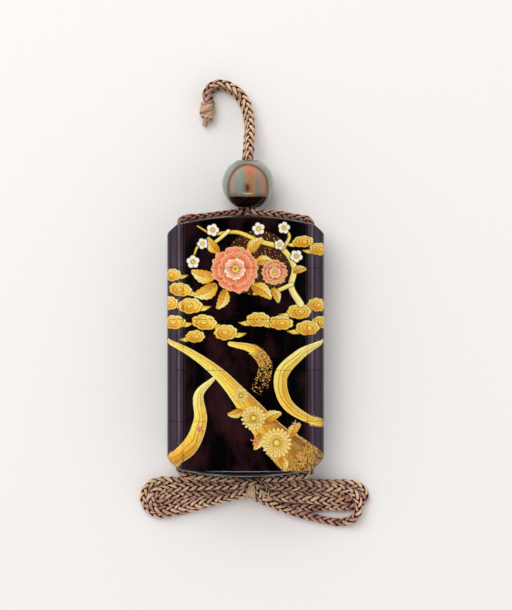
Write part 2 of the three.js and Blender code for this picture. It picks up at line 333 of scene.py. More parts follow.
def agate():
    """Banded stone: a grey-green rind, a brown arch and veils of grey and amber, with painted reflections: a
    dark foot, a pale crescent above it and a darker top round the bore.
    """
    s = Shader("polished_agate")
    stone = s.attribute("stone", "Vector")
    drift = s.node("ShaderNodeTexNoise", {"Vector": stone, "Scale": 1.7, "Detail": 3}).outputs["Color"]
    bent = s.node(
        "ShaderNodeVectorMath", {0: drift, 1: (0.09, 0.07, 0.0), 2: stone}, operation="MULTIPLY_ADD"
    ).outputs[0]
    split = s.node("ShaderNodeSeparateXYZ", {"Vector": bent})
    x, y = (s.math("SUBTRACT", split.outputs[i], shift) for i, shift in ((0, 0.045), (1, 0.035)))

    def reach(mid_x, mid_y, half_x, half_y, above=None):
        """How far a place is from a centre, in halves of an oval's axes."""
        across = s.math("DIVIDE", s.math("SUBTRACT", x, mid_x), half_x)
        rise = s.math("DIVIDE", s.math("SUBTRACT", y, mid_y), half_y)
        if above is not None:
            rise = s.math("MAXIMUM", rise, above)
        square = s.math("ADD", s.math("MULTIPLY", across, across), s.math("MULTIPLY", rise, rise))
        return s.math("SQRT", square)

    arch = reach(0.0, -0.1, 0.77, 0.84, 0.0)
    drawn = s.node("ShaderNodeMapping", {"Vector": stone, "Scale": (9, 0.9, 1.6)}).outputs[0]
    veil = s.noise(drawn, 1.0, 4, 0.65)
    cross = s.math("ADD", x, s.range(veil, 0.3, 0.7, -0.17, 0.17))
    heart = s.ramp(
        s.range(cross, -0.8, 0.8),
        (0.04, 0.28, 0.15, 0.11), (0.16, 0.30, 0.21, 0.17), (0.27, 0.22, 0.29, 0.23),
        (0.40, 0.19, 0.26, 0.20), (0.50, 0.42, 0.18, 0.055), (0.60, 0.36, 0.22, 0.10),
        (0.70, 0.19, 0.20, 0.20), (0.82, 0.33, 0.18, 0.10), (0.94, 0.27, 0.10, 0.03),
    )
    aside = s.math("ABSOLUTE", s.math("SUBTRACT", x, 0.06))
    glow = s.math("MULTIPLY", s.range(y, 0.15, 0.72), s.range(aside, 0.06, 0.36, 1.0, 0.0))
    heart = s.mix(glow, heart, (0.66, 0.11, 0.035))
    bands = s.ramp(
        s.range(arch, 0.85, 1.25),
        (0.10, 0.30, 0.12, 0.045), (0.27, 0.11, 0.030, 0.012), (0.33, 0.028, 0.007, 0.004),
        (0.40, 0.20, 0.10, 0.05), (0.50, 0.24, 0.20, 0.13), (0.72, 0.19, 0.27, 0.22),
    )
    colour = s.mix(s.range(arch, 0.84, 0.89), heart, bands)
    halo = reach(-0.03, -0.19, 0.17, 0.24)
    colour = s.mix(s.range(halo, 0.75, 1.1, 0.75, 0.0), colour, (0.20, 0.13, 0.10))
    drop = reach(-0.02, -0.19, 0.070, 0.15)
    colour = s.mix(s.range(drop, 0.8, 1.1, 1.0, 0.0), colour, (0.20, 0.022, 0.008))
    # a painted reflection: a thin pale crescent below the middle
    crescent = s.math("ABSOLUTE", s.math("SUBTRACT", reach(-0.01, -0.24, 0.26, 0.17), 1.0))
    low = s.math("MULTIPLY", s.range(crescent, 0.04, 0.26, 0.85, 0.0), s.range(y, -0.36, -0.40))
    colour = s.mix(low, colour, (0.70, 0.68, 0.48))
    # a painted reflection: the dark foot, with dark brown specks
    foot = s.math("MULTIPLY", s.range(y, -0.50, -0.525), s.range(arch, 0.98, 1.04, 1.0, 0.0))
    speck = s.noise(stone, 5.0, 4, 0.7)
    dark = s.mix(s.range(speck, 0.52, 0.75), (0.010, 0.003, 0.002), (0.085, 0.018, 0.008))
    colour = s.mix(foot, colour, dark)
    # a painted reflection: darker towards the bore's upper mouth
    mouth = s.math("MULTIPLY", s.range(y, 0.80, 0.88), 0.8)
    colour = s.mix(mouth, colour, (0.10, 0.055, 0.03))
    return s.finish(base_color=colour, roughness=0.12, coat_weight=0.6, coat_roughness=0.04)


def lacquer():
    """Black lacquer with its paler side strips, and the gold and pigment laid over it; on the strips painted
    sheen, a painted highlight and painted shade join the lacquer's own tone.
    """
    s = Shader("lacquer")
    split = s.node("ShaderNodeSeparateXYZ", {"Vector": s.place()})
    out = s.math("ABSOLUTE", split.outputs[0])
    # vertical streaks and blotches of purple-brown over the black: partly the lacquer's own uneven tone,
    # partly painted reflection
    streak = s.noise(s.place((300, 24, 90)), 1.0, 4, 0.6)
    blotch = s.noise(s.place((75, 45, 75)), 1.0, 4, 0.6)
    ground = s.mix(s.range(blotch, 0.47, 0.68), (0.0004, 0.0002, 0.0003), (0.030, 0.0075, 0.0100))
    ground = s.mix(s.range(streak, 0.54, 0.76, 0, 0.55), ground, (0.020, 0.0060, 0.0095))
    # across the strips: painted shade in the groove at the face's edge, purple that is partly painted sheen,
    # a painted highlight on the moulding, and painted shade where the strip rounds away at its outer edge
    strip = s.ramp(
        s.range(s.math("ADD", out, s.range(streak, 0.3, 0.7, -0.0001, 0.0001)), 0.0210, 0.0280),
        (0.06, 0.030, 0.010, 0.013), (0.12, 0.003, 0.001, 0.001), (0.18, 0.050, 0.038, 0.050),
        (0.33, 0.052, 0.034, 0.050), (0.38, 0.160, 0.128, 0.170), (0.43, 0.024, 0.010, 0.015),
        (0.50, 0.020, 0.008, 0.014), (0.57, 0.062, 0.034, 0.064), (0.70, 0.056, 0.032, 0.062),
        (0.78, 0.026, 0.012, 0.024), (0.87, 0.006, 0.003, 0.005), (0.94, 0.004, 0.002, 0.003),
    )
    strip = s.mix(s.range(blotch, 0.42, 0.66, 0.0, 0.6), strip, (0.022, 0.008, 0.016))
    ground = s.mix(s.range(out, 0.0213, 0.0216), ground, strip)
    painted = s.attribute("picture", "Color")
    cover = s.range(s.attribute("cover"), 0.35, 0.65)
    metal = s.attribute("metal")
    grain = s.noise(s.place(), 2300, 2, 0.7)
    wear = s.noise(s.place(), 380, 3)
    foil = s.mix(s.range(grain, 0.44, 0.68, 0.0, 0.45), painted, (0.50, 0.20, 0.02))
    foil = s.mix(s.range(wear, 0.50, 0.72, 0.0, 0.30), foil, (0.98, 0.80, 0.28))
    pigment = s.mix(metal, painted, foil)
    dust = s.attribute("dust")
    flakes = s.node("ShaderNodeTexVoronoi", {"Vector": s.place(), "Scale": 3300.0}).outputs["Color"]
    chance = s.node("ShaderNodeSeparateColor", {"Color": flakes})
    lit = s.math("LESS_THAN", chance.outputs[0], dust)
    flake = s.mix(chance.outputs[1], (0.30, 0.10, 0.02), (0.90, 0.55, 0.10))
    colour = s.mix(cover, ground, pigment)
    open_ground = s.math("MULTIPLY", lit, s.math("SUBTRACT", 1.0, s.math("MULTIPLY", cover, metal)))
    colour = s.mix(open_ground, colour, flake)
    shine = s.math("MAXIMUM", s.math("MULTIPLY", cover, metal), open_ground)
    rough = s.math("ADD", s.range(shine, 0, 1, 0.16, 0.42), s.range(grain, 0.3, 0.7, 0.0, 0.06))
    raised = s.math("ADD", s.attribute("cover"), s.math("MULTIPLY", grain, 0.22))
    return s.finish(
        base_color=colour,
        metallic=s.math("MULTIPLY", shine, 0.10),
        roughness=rough,
        normal=s.bump(raised, 0.00006, 0.4),
        specular_ior_level=0.20,
        coat_weight=0.03,
        coat_roughness=0.08,
    )


def paper():
    """The pale table under the part."""
    s = Shader("pale_table")
    grain = s.noise(s.place(), 900, 2)
    return s.finish(
        base_color=s.mix(s.range(grain, 0.3, 0.7), (0.895, 0.87, 0.855), (0.915, 0.89, 0.875)),
        roughness=0.9,
    )


# --- mesh helpers ---

def mesh_object(name, points, faces, material):
    """A smooth-shaded piece from points in millimetres, riding on the part."""
    mesh = bpy.data.meshes.new(name)
    mesh.from_pydata((np.asarray(points) * MM).tolist(), [], faces)
    mesh.shade_smooth()
    mesh.materials.append(material)
    made = linked(name, mesh)
    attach(made, "root")
    return made


def grid_faces(rows, columns):
    """Quads between successive rings, turned to face outwards for counter-clockwise rings."""
    across = np.arange(columns)
    beyond = (across + 1) % columns
    base = np.arange(rows - 1)[:, None] * columns
    quads = [base + across, base + beyond, base + columns + beyond, base + columns + across]
    return np.stack(quads, axis=-1).reshape(-1, 4)


def closed_faces(rows, columns):
    """Faces of a body of rings, each end closed by a fan about one of the two points that follow."""
    faces = grid_faces(rows, columns).tolist()
    first, last, tail = rows * columns, rows * columns + 1, (rows - 1) * columns
    for i in range(columns):
        j = (i + 1) % columns
        faces.append([first, j, i])
        faces.append([last, tail + i, tail + j])
    return faces


def store(mesh, name, values, kind="FLOAT"):
    """Keeps a value for each point of a mesh, for its material to read."""
    layer = mesh.attributes.new(name, kind, "POINT")
    field = {"FLOAT": "value", "FLOAT_VECTOR": "vector"}.get(kind, "color")
    layer.data.foreach_set(field, np.ascontiguousarray(values, np.float32).ravel())


def make_table(material):
    """The table, which belongs to the stage and not to the part."""
    mesh = bpy.data.meshes.new("table")
    corners = [(x * TABLE_HALF, y * TABLE_HALF, 0) for x, y in ((-1, -1), (1, -1), (1, 1), (-1, 1))]
    mesh.from_pydata(corners, [], [(0, 1, 2, 3)])
    mesh.materials.append(material)
    table = linked("table", mesh)


# --- routes and braids ---

def smooth_route(points, step):
    """The centripetal curve through points, resampled every step or a little less."""
    p = np.asarray(points, float)
    p = np.vstack([2 * p[0] - p[1], p, 2 * p[-1] - p[-2]])
    t = np.linspace(0, 1, 40, endpoint=False)[:, None]
    pieces = []
    for a, b, c, d in zip(p, p[1:], p[2:], p[3:]):
        u, v, w = (math.sqrt(np.linalg.norm(q - r)) for q, r in ((b, a), (c, b), (d, c)))
        m = v * ((b - a) / u - (c - a) / (u + v) + (c - b) / v)
        n = v * ((c - b) / v - (d - b) / (v + w) + (d - c) / w)
        cubic = 2 * b - 2 * c + m + n
        square = -3 * b + 3 * c - 2 * m - n
        pieces.append(((cubic * t + square) * t + m) * t + b)
    curve = np.vstack([*pieces, p[-2:-1]])
    along = np.concatenate([[0], np.cumsum(np.linalg.norm(np.diff(curve, axis=0), axis=1))])
    stops = np.linspace(0, along[-1], max(2, math.ceil(along[-1] / step) + 1))
    return np.stack([np.interp(stops, along, curve[:, k]) for k in range(3)], axis=1)


def clamp(share):
    """Shares kept between 0 and 1."""
    return np.clip(share, 0, 1)


def ease(share):
    """Shares that leave 0 and reach 1 without a corner."""
    return share * share * (3 - 2 * share)


def unit(v):
    """Vectors brought to length 1."""
    return v / np.maximum(np.linalg.norm(v, axis=-1, keepdims=True), 1e-12)


def frames(route, roll=0.0):
    """At each point of a route: the way it runs, the direction across it, and the third.

    Across is level where roll is 0, and turned about the route by roll elsewhere.
    """
    way = unit(np.gradient(route, axis=0))
    level = unit(np.cross(way, [0, 0, 1.0]))
    rise = np.cross(level, way)
    c, s = (np.broadcast_to(f(roll), len(route))[:, None] for f in (np.cos, np.sin))
    return way, level * c + rise * s, rise * c - level * s


def run_along(route):
    """How far each point of a route is from its start."""
    return np.concatenate([[0], np.cumsum(np.linalg.norm(np.diff(route, axis=0), axis=1))])


def tube_mesh(middle, across, rise, sides):
    """A closed tube about a line: its half width and half height run along across and rise."""
    angles = 2 * np.pi * np.arange(sides) / sides
    c, s = np.cos(angles)[:, None], np.sin(angles)[:, None]
    shell = middle[:, None] + across[:, None] * c + rise[:, None] * s
    return shell, [face[::-1] for face in closed_faces(len(middle), sides)]


class Silk:
    """Strands of silk gathered into one mesh, with the layers that their colour needs."""

    def __init__(self):
        self.points, self.faces, self.open, self.tone, self.uv = [], [], [], [], []

    def keep(self, points, faces, clear, tone, uv):
        first = sum(len(p) for p in self.points)
        self.points.append(points)
        self.faces.extend([[first + i for i in face] for face in faces])
        self.open.append(clear)
        self.tone.append(tone)
        self.uv.append(uv)

    def add(self, middle, across, rise, tone=0.5, sides=12, clear=None):
        """One strand with painted shade on its flanks, or one whose painted shade is even, set by clear."""
        shell, faces = tube_mesh(middle, across, rise, sides)
        points = np.vstack([shell.reshape(-1, 3), middle[0], middle[-1]])
        share = np.abs(np.sin(2 * np.pi * np.arange(sides) / sides))
        # painted shade on the flanks, where a strand meets its neighbours
        flanks = clamp((share - 0.1) / 0.6) if clear is None else np.full(sides, clear)
        tone = np.broadcast_to(tone, len(middle))
        u = np.tile(np.arange(sides) / sides, len(middle))
        along = run_along(middle)
        self.keep(
            points,
            faces,
            np.concatenate([np.tile(flanks, len(middle)), [0.3, 0.3]]),
            np.concatenate([np.repeat(tone, sides), tone[[0, -1]]]),
            np.vstack([np.stack([u, np.repeat(along, sides)], 1), [[0, 0], [0, along[-1]]]]),
        )

    def braid(self, route, roll=0.0, phase=0.0, size=1.0, darkened=0.0):
        """Stitches in four columns that follow a route, darker where darkened is high."""
        along = run_along(route)
        _, across, up = frames(route, roll + TWIST * np.sin(along / TWIST_RUN + phase))
        darkened, size = (np.broadcast_to(value, len(route)) for value in (darkened, size))
        size = size * (1 + UNEVEN * np.sin(along / UNEVEN_RUN + 2 * phase))
        free = np.minimum(1, along / STEADY_END) * np.minimum(1, (along[-1] - along) / STEADY_END)
        sway = SWAY * np.sin(along / SWAY_RUN + 3 * phase) * free
        route = route + across * sway[:, None]
        core = (CORE_R * size)[:, None]
        # the core is all painted shade: a near-black fill seen where the stitches part
        self.add(route, across * core, up * core, sides=8, clear=0.0)
        u = np.linspace(-1, 1, STITCH_RINGS)
        for column in range(4):
            lean = 1 if column % 2 == 0 else -1
            swing = math.pi / 4 + column * math.pi / 2 + lean * STITCH_SWING * u
            reach = STITCH_OUT - STITCH_SINK * np.abs(u) ** 3
            starts = np.arange(0.25 + 0.5 * (column % 2), along[-1] / STITCH_PITCH, 1.0) * STITCH_PITCH
            for start in starts:
                at = start + u * STITCH_LONG / 2 * rng.uniform(0.90, 1.10)
                place, level, high = (
                    np.stack([np.interp(at, along, field[:, i]) for i in range(3)], 1)
                    for field in (route, across, up)
                )
                out = level * np.cos(swing)[:, None] + high * np.sin(swing)[:, None]
                scale = np.interp(at, along, size)
                middle = place + out * (scale * reach * rng.uniform(0.92, 1.06))[:, None]
                side = unit(np.cross(np.gradient(middle, axis=0), out))
                wide = side * (scale * STITCH_WIDE * rng.uniform(0.86, 1.12) * (1 - 0.7 * u**4))[:, None]
                thick = out * (scale * STITCH_HIGH * (1 - 0.5 * u**4))[:, None]
                worn = 0.28 + 0.18 * math.sin(start / 6.1 + column + phase) + rng.uniform(-0.3, 0.3)
                self.stitch(middle, wide, thick, worn + 0.6 * np.interp(start, along, darkened), u)

    def stitch(self, middle, wide, thick, tone, u):
        """One lens of yarn, with painted shade along its edges and where its ends slip under the next ones.
        """
        c, s = np.cos(STITCH_ANGLES)[:, None], np.sin(STITCH_ANGLES)[:, None]
        shell = middle[:, None] + wide[:, None] * c + thick[:, None] * s
        sides = len(STITCH_ANGLES)
        rows = len(middle)
        faces = grid_faces(rows, sides).tolist()
        faces.append(list(range(sides))[::-1])
        faces.append([(rows - 1) * sides + i for i in range(sides)])
        # painted shade: dark along the lens's edges and towards its ends
        edge = clamp((s[:, 0] - 0.34) / 0.5)
        ends = clamp((1 - np.abs(u)) / 0.36) ** 0.8
        turn = np.tile(np.arange(sides) / sides, rows)
        self.keep(
            shell.reshape(-1, 3),
            faces,
            (ends[:, None] * edge).ravel(),
            np.full(rows * sides, tone),
            np.stack([turn, np.repeat(run_along(middle), sides)], 1),
        )

    def tuft(self, route, spread, count, thick, tone=0.5):
        """Loose yarns that leave a cord's cut end: they follow a route and fan out by spread."""
        _, across, up = frames(route)
        share = np.linspace(0, 1, len(route))[:, None]
        for i in range(count):
            a = 2 * np.pi * (i + rng.uniform(-0.3, 0.3)) / count
            out = across * math.cos(a) * spread[0] + up * math.sin(a) * spread[1]
            line = route + out * (0.35 + 0.65 * share**1.3) * rng.uniform(0.75, 1.1)
            line = line[: max(4, int(len(line) * rng.uniform(0.8, 1.0)))]
            _, side, rise = frames(line)
            thin = thick * (1 - 0.35 * np.linspace(0, 1, len(line))[:, None] ** 3)
            self.add(line, side * thin, rise * thin, tone=tone + rng.uniform(-0.25, 0.25), sides=6)

    def made(self, name, material):
        points = np.vstack(self.points)
        points[:, 2] = np.maximum(points[:, 2], 0)
        made = mesh_object(name, points, self.faces, material)
        mesh = made.data
        store(mesh, "open", np.concatenate(self.open))
        store(mesh, "tone", np.concatenate(self.tone))
        corners = np.zeros(len(mesh.loops), np.int32)
        mesh.loops.foreach_get("vertex_index", corners)
        layer = mesh.uv_layers.new(name="along")
        layer.data.foreach_set("uv", np.vstack(self.uv)[corners].astype(np.float32).ravel())
        return made


def dome_at(apex, sag, x):
    """Where the ridge of an end plate lies in y."""
    return apex - np.sign(apex) * sag * (x / SAG_AT) ** 2


def along_plate(side, apex, sag, to_x, to_z):
    """From a channel's mouth along the end plate towards the middle, its height falling evenly."""
    end = math.copysign(1, apex)
    lift = CORD_R + CLEAR + 0.05 - FLAT_REST
    mouth = CHANNEL_X - MOUTH_INNER
    bend = [(0, CHANNEL_END + CLEAR), (0, CUT_TOP - 1.2), (0.35, CUT_TOP + 0.5), (1.25, CUT_TOP + 1.45)]
    points = [(side * (mouth - x), end * y, HALF_DEPTH) for x, y in bend]
    start = CHANNEL_X - 3.2
    for i in range(PLATE_STEPS + 1):
        x = start + (to_x - start) * i / PLATE_STEPS
        y = dome_at(apex, sag, x) + end * (lift + (0.35 if i == 0 else 0))
        fall = (start - x) / (start - to_x)
        points.append((side * x, y, HALF_DEPTH + (to_z - HALF_DEPTH) * fall**1.2))
    return points


def beside(middle, way, side):
    """Where one cord of the pair lies, with the pair's middle at a point and the way it runs."""
    across = unit(np.array([way[1], -way[0], 0.0]))
    offset = across * math.cos(PAIR_LEAN) + np.array([0, 0, math.sin(PAIR_LEAN)])
    return np.asarray(middle) + offset * side * PAIR / 2


def upper_route(side):
    """One side's cord from its channel over the lid, through the bead and on to the end knot."""
    lane = beside(BEAD_AT, (0, 1, 0), side)
    points = along_plate(side, LID_APEX, LID_SAG, 6.2, lane[2] + 0.6)
    points.append((BEAD_AT[0] + side * 2.3, LID_APEX + 1.85 - FLAT_REST / 2, lane[2] + 0.25 * side))
    points.append((BEAD_AT[0] + side * 0.5, LID_APEX + 3.0, lane[2]))
    points.extend((lane[0], BEAD_AT[1] + y, lane[2]) for y in (-BEAD_R / 2, 0, BEAD_R / 2, BEAD_R))
    settled = CORD_R + 0.15 + math.sin(PAIR_LEAN) * PAIR / 2
    route = [np.array([x, y, settled]) for x, y in PAIR_ROUTE]
    for i, p in enumerate(route):
        if i < PAIR_FALLS:
            left = max(0, (PAIR_SETTLES - p[1]) / (PAIR_SETTLES - BEAD_AT[1] - BEAD_R))
            p[2] += (BEAD_AT[2] - settled) * min(1, ease(left))
        way = route[min(i + 1, len(route) - 1)] - route[max(i - 1, 0)]
        points.append(beside(p, way, side))
    return [np.array(p, float) for p in points]


def loop_route(side, reach, upper, lower, bend, z, leaves):
    """One loop of the bow: out along its upper leg, round its tip and back along its lower leg.

    Each leg leaves the waist by its shift in y and z, and dips on its way.
    """
    half = (upper - lower) / 2
    tip = min(TIP_LENGTH, half + TIP_POINT)
    turn = side * (reach - tip)

    def leg(shift, level, height):
        t = np.arange(LEG_STEPS) / LEG_STEPS
        spread = 1 - (1 - t) ** bend
        x = WAIST[0] + (turn - WAIST[0]) * t
        y = WAIST[1] + shift[0] + (level - WAIST[1] - shift[0]) * spread + shift[2] * np.sin(np.pi * t)
        start = WAIST[2] + shift[1]
        return np.stack([x, y, start + (height - start) * (1 - (1 - t) ** SETTLE)], 1)

    t = np.arange(TIP_STEPS + 1) / TIP_STEPS
    out = np.sin(np.pi * t)
    height = z[0] + (z[2] - z[0]) * t
    height = height + (z[1] - height) * out
    round_tip = np.stack([turn + side * tip * out, lower + half + half * np.cos(np.pi * t), height], 1)
    return np.vstack([leg(leaves[0], upper, z[0]), round_tip, leg(leaves[1], lower, z[2])[::-1]])


def pressed_share(route, middle, limit):
    """1 where a cord lies along an end plate, falling to 0 near the middle and beyond a limit in y."""
    share = clamp((np.abs(route[:, 0] - middle) - 1.2) / 3.5)
    return ease(share) * (np.abs(route[:, 1]) < abs(limit))


# --- knots and bow ---

def helix(centre, axis_y, radius, turns, count, lean=0.0, start=0.0):
    """A winding about an upright knot, in millimetres: radius is a function of the share of the way."""
    t = np.linspace(0, 1, count)
    a = start + 2 * np.pi * turns * t
    r = np.array([radius(u) for u in t])
    y = centre[1] + axis_y[0] + (axis_y[1] - axis_y[0]) * t + lean * np.cos(a)
    return np.stack([centre[0] + r * np.cos(a), y, centre[2] + 0.92 * r * np.sin(a)], 1)


def make_end_knot(material):
    """The knot that ends the doubled cord: windings about a core, with two short frayed tails."""
    silk_knot = Silk()
    top = KNOT_TOP
    core = np.array([[top[0], top[1] + 0.5 - 1.3 * i, top[2]] for i in range(7)])
    core = smooth_route(core, 0.4)
    share = np.linspace(0, 1, len(core))
    swell = 1.0 + 0.85 * np.sin(np.pi * clamp(share * 1.05)) ** 0.8
    _, side, rise = frames(core)
    silk_knot.add(core, side * swell[:, None], rise * swell[:, None], tone=0.6)
    belly = [
        ((-0.2, -5.9), lambda u: 1.75 + 0.55 * math.sin(math.pi * u), 4.2, 0.35, 0.2),
        ((-5.4, -1.0), lambda u: 2.05 + 0.45 * math.sin(math.pi * u), -1.6, 0.9, 2.0),
    ]
    for reach, radius, turns, lean, start in belly:
        line = smooth_route(helix(top, reach, radius, turns, 60, lean, start), YARN_STEP)
        run, _, _ = frames(line)
        out = unit((line - top) * [1, 0, 1])
        along = unit(np.cross(run, out))
        silk_knot.add(line, along * 0.72, out * 0.55, tone=0.35 + 0.2 * np.sin(run_along(line) / 2.1))
    for x, y, z in TAIL_ENDS:
        half_way = ((top[0] + x) / 2, y + 2.1, (top[2] + z) / 2)
        tail = smooth_route([(top[0], y + 4.2, top[2]), half_way, (x, y, z)], YARN_STEP)
        silk_knot.tuft(tail, (0.85, 0.75), 12, 0.30, 0.3)
    made = silk_knot.made("end_knot_silk", material)
    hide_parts("end_knot")
    return made


def bow_route():
    """The whole cord below the foot: from the left channel through every loop to the right channel."""
    left, right = (
        [*along_plate(side, FOOT_APEX, FOOT_SAG, 5, 7.6), tuple(WAIST + [0, 1.2, 1.2])]
        for side in (-1, 1)
    )
    loops = [loop_route(**loop, leaves=leaves) for loop, leaves in zip(LOOPS, LEAVES)]
    legs = [left]
    for i in range(3):
        legs.extend([loops[3 + i], loops[i][::-1]])
    return [*legs, right[::-1]]


def make_bow(material):
    """The bow's braid, from the left channel through every loop to the right one."""
    silk_bow = Silk()
    for number, points in enumerate(bow_route()):
        route = smooth_route(points, BRAID_STEP)
        pressed = pressed_share(route, WAIST[0], FOOT_APEX + 3) * (number in (0, 7))
        silk_bow.braid(route, phase=1.7 * number, size=1 - PRESSED * pressed, darkened=pressed)
    made = silk_bow.made("bow_braid", material)
    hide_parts("bow")
    make_bow_wrap(material)
    return made


def make_bow_wrap(material):
    """Two turns that bind the waist, and the cord's frayed end that is tucked under them."""
    silk_wrap = Silk()
    turns = np.linspace(-0.2, 2 * np.pi - 0.2, 40)
    for x, lean, radius in ((4.4, -0.9, 3.6), (6.3, -0.7, 2.9)):
        c, s = np.cos(turns), np.sin(turns)
        wrap = [x + lean * c, WAIST[1] + 0.15 + radius * c, WAIST[2] + 0.2 + radius * s]
        wrap = smooth_route(np.stack(wrap, 1), BRAID_STEP)
        out = unit((wrap - WAIST) * [0, 1, 1])
        level = unit(np.cross(np.gradient(wrap, axis=0), [0, 0, 1.0]))
        rise = np.cross(level, unit(np.gradient(wrap, axis=0)))
        roll = np.unwrap(np.arctan2(-(out * level).sum(1), (out * rise).sum(1)))
        silk_wrap.braid(wrap, roll, phase=x, size=0.95)
    over = [(-3.6, -49.3, 6.6), (-1.2, -48.9, 8.2), (1.6, -48.7, 9.2), (4.2, -49.0, 9.7)]
    over += [(6.0, -50.6, 9.2), (7.2, -53.0, 7.2)]
    silk_wrap.braid(smooth_route(over, BRAID_STEP), size=0.9)
    fan = [(2.6, -48.9, 8.9), (2.4, -50.2, 9.6), (2.1, -51.6, 9.7), (1.9, -53.4, 9.1), (1.8, -55.4, 7.9)]
    silk_wrap.tuft(smooth_route(fan, YARN_STEP), (2.0, 0.5), 15, 0.34, 0.0)
    made = silk_wrap.made("bow_wrap", material)
    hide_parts("bow")
    return made


# --- the bead ---

def make_bead(material):
    """The bead with its bore, turned about Y."""
    mouth = math.asin(MOUTH_R / BEAD_R)
    a = np.linspace(mouth, np.pi - mouth, 72)
    outer = np.stack([BEAD_R * np.sin(a), -BEAD_R * np.cos(a)], 1)
    rim = BEAD_R * math.cos(mouth)
    flare = [(0.86, -0.02), (0.5, 0.15), (0.22, 0.45), (0.06, 0.9), (0, 1.5)]
    inner = np.array([(BORE_R + out * (MOUTH_R - BORE_R), rim - down) for out, down in flare])
    profile = np.vstack([outer, inner, inner[::-1] * [1, -1]])
    turns = 2 * np.pi * np.arange(128) / 128
    r, y = profile[:, 0, None], profile[:, 1, None]
    points = np.stack([r * np.sin(turns), y + 0 * turns, r * np.cos(turns)], -1) + BEAD_AT
    rows = len(profile)
    faces = grid_faces(rows + 1, len(turns)) % (rows * len(turns))
    points = points.reshape(-1, 3)
    bead = mesh_object("ojime", points, faces[:, ::-1].tolist(), material)
    store(bead.data, "stone", (points - BEAD_AT) / BEAD_R, "FLOAT_VECTOR")
    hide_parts("ojime_bead")
    return bead


# --- the picture ---

PALE_GOLD = (1.0, 0.87, 0.36)
BRIGHT_GOLD = (1.0, 0.74, 0.12)
GOLD = (0.93, 0.52, 0.038)
DEEP_GOLD = (0.62, 0.24, 0.014)
BURNT_GOLD = (0.20, 0.055, 0.010)
UMBER = (0.045, 0.014, 0.008)
CORAL = (0.78, 0.115, 0.050)
PALE_CORAL = (0.90, 0.36, 0.21)
DEEP_CORAL = (0.34, 0.022, 0.012)
SHELL_WHITE = (0.86, 0.83, 0.74)
INK = (0.006, 0.002, 0.002)
# pale grey-blue of the painted highlights along the foot's rim and the lid's edge
PAINTED_EDGE_HIGHLIGHT = (0.26, 0.27, 0.31)
RIM_BLACK = (0.003, 0.002, 0.003)
RIM_LINE = -44.1
RIM_EDGE = 0.85
LID_EDGE = 0.42
EDGE_FADES = 3.2
LINE = 0.22


class Canvas:
    """Pigment over the lacquer, at points (x, y) of the case seen from one side, sunk below its face."""

    def __init__(self, x, y, sunk):
        self.x, self.y, self.sunk = x, y, sunk
        self.colour = np.zeros((len(x), 3))
        self.cover, self.metal, self.dust = np.zeros((3, len(x)))
        self.rng = np.random.default_rng(SEED)

    def near(self, centre, reach):
        return np.flatnonzero((np.abs(self.x - centre[0]) < reach) & (np.abs(self.y - centre[1]) < reach))

    def local(self, at, centre, tilt):
        """The points' coordinates about a centre, in axes turned by tilt degrees."""
        dx, dy = self.x[at] - centre[0], self.y[at] - centre[1]
        c, s = math.cos(math.radians(tilt)), math.sin(math.radians(tilt))
        return dx * c + dy * s, dy * c - dx * s

    def polar(self, centre, reach, turn=0.0):
        """The points within reach of a centre, with their distance and direction from it."""
        at = self.near(centre, reach)
        u, v = self.local(at, centre, turn)
        return at, np.hypot(u, v), np.arctan2(v, u)

    def lay(self, at, inside, colour, metal=1.0, soft=0.15, strength=1.0):
        """Pigment where inside, a distance in millimetres, is positive."""
        share = clamp(inside / soft + 0.5) * strength
        blend = share[:, None]
        self.colour[at] = self.colour[at] * (1 - blend) + np.asarray(colour) * blend
        self.metal[at] = self.metal[at] * (1 - share) + metal * share
        self.cover[at] = np.maximum(self.cover[at], share)

    def powder(self, at, density):
        """Gold powder strewn over the ground, from none at 0 to a closed film at 1."""
        self.dust[at] = np.maximum(self.dust[at], density)


def shade(share, *stops):
    """Colours along stops, evenly spaced, one for each share from 0 to 1."""
    place = clamp(share) * (len(stops) - 1)
    return np.stack([np.interp(place, np.arange(len(stops)), [c[i] for c in stops]) for i in range(3)], 1)


def follow(canvas, points, widths):
    """Where a drawn line covers: how far inside, the share of its way, and the place across it."""
    route = smooth_route([(x, y, 0) for x, y in points], 0.3)[:, :2]
    share = np.linspace(0, 1, len(route))
    half = np.interp(share, np.linspace(0, 1, len(widths)), widths)
    way = unit(np.gradient(route, axis=0))
    middle = (route.min(0) + route.max(0)) / 2
    at = canvas.near(middle, (route.max(0) - route.min(0)).max() / 2 + max(widths) + 1)
    inside, along, across = np.full(len(at), -9.0), np.zeros(len(at)), np.zeros(len(at))
    for q, w, h, t in zip(route, way, half, share):
        dx, dy = canvas.x[at] - q[0], canvas.y[at] - q[1]
        d = h - np.hypot(dx, dy)
        closer = d > inside
        inside[closer] = d[closer]
        along[closer] = t
        across[closer] = ((dy * w[0] - dx * w[1]) / h)[closer]
    return at, inside, along, across


def stroke(canvas, points, widths, stops):
    """A drawn line with an outline; its half width runs through widths, its colour through stops."""
    at, inside, along, across = follow(canvas, points, widths)
    canvas.lay(at, inside + LINE, INK, 0.0)
    colour = shade(along, *stops) * (1.0 - 0.22 * np.clip(across, -1, 1))[:, None]
    canvas.lay(at, inside, clamp(colour))


def away(start, distance, tilt, down=0.0):
    """The point at a distance from start in a direction in degrees, and then down by a little."""
    a = math.radians(tilt)
    return start[0] + distance * math.cos(a), start[1] + distance * math.sin(a) - down


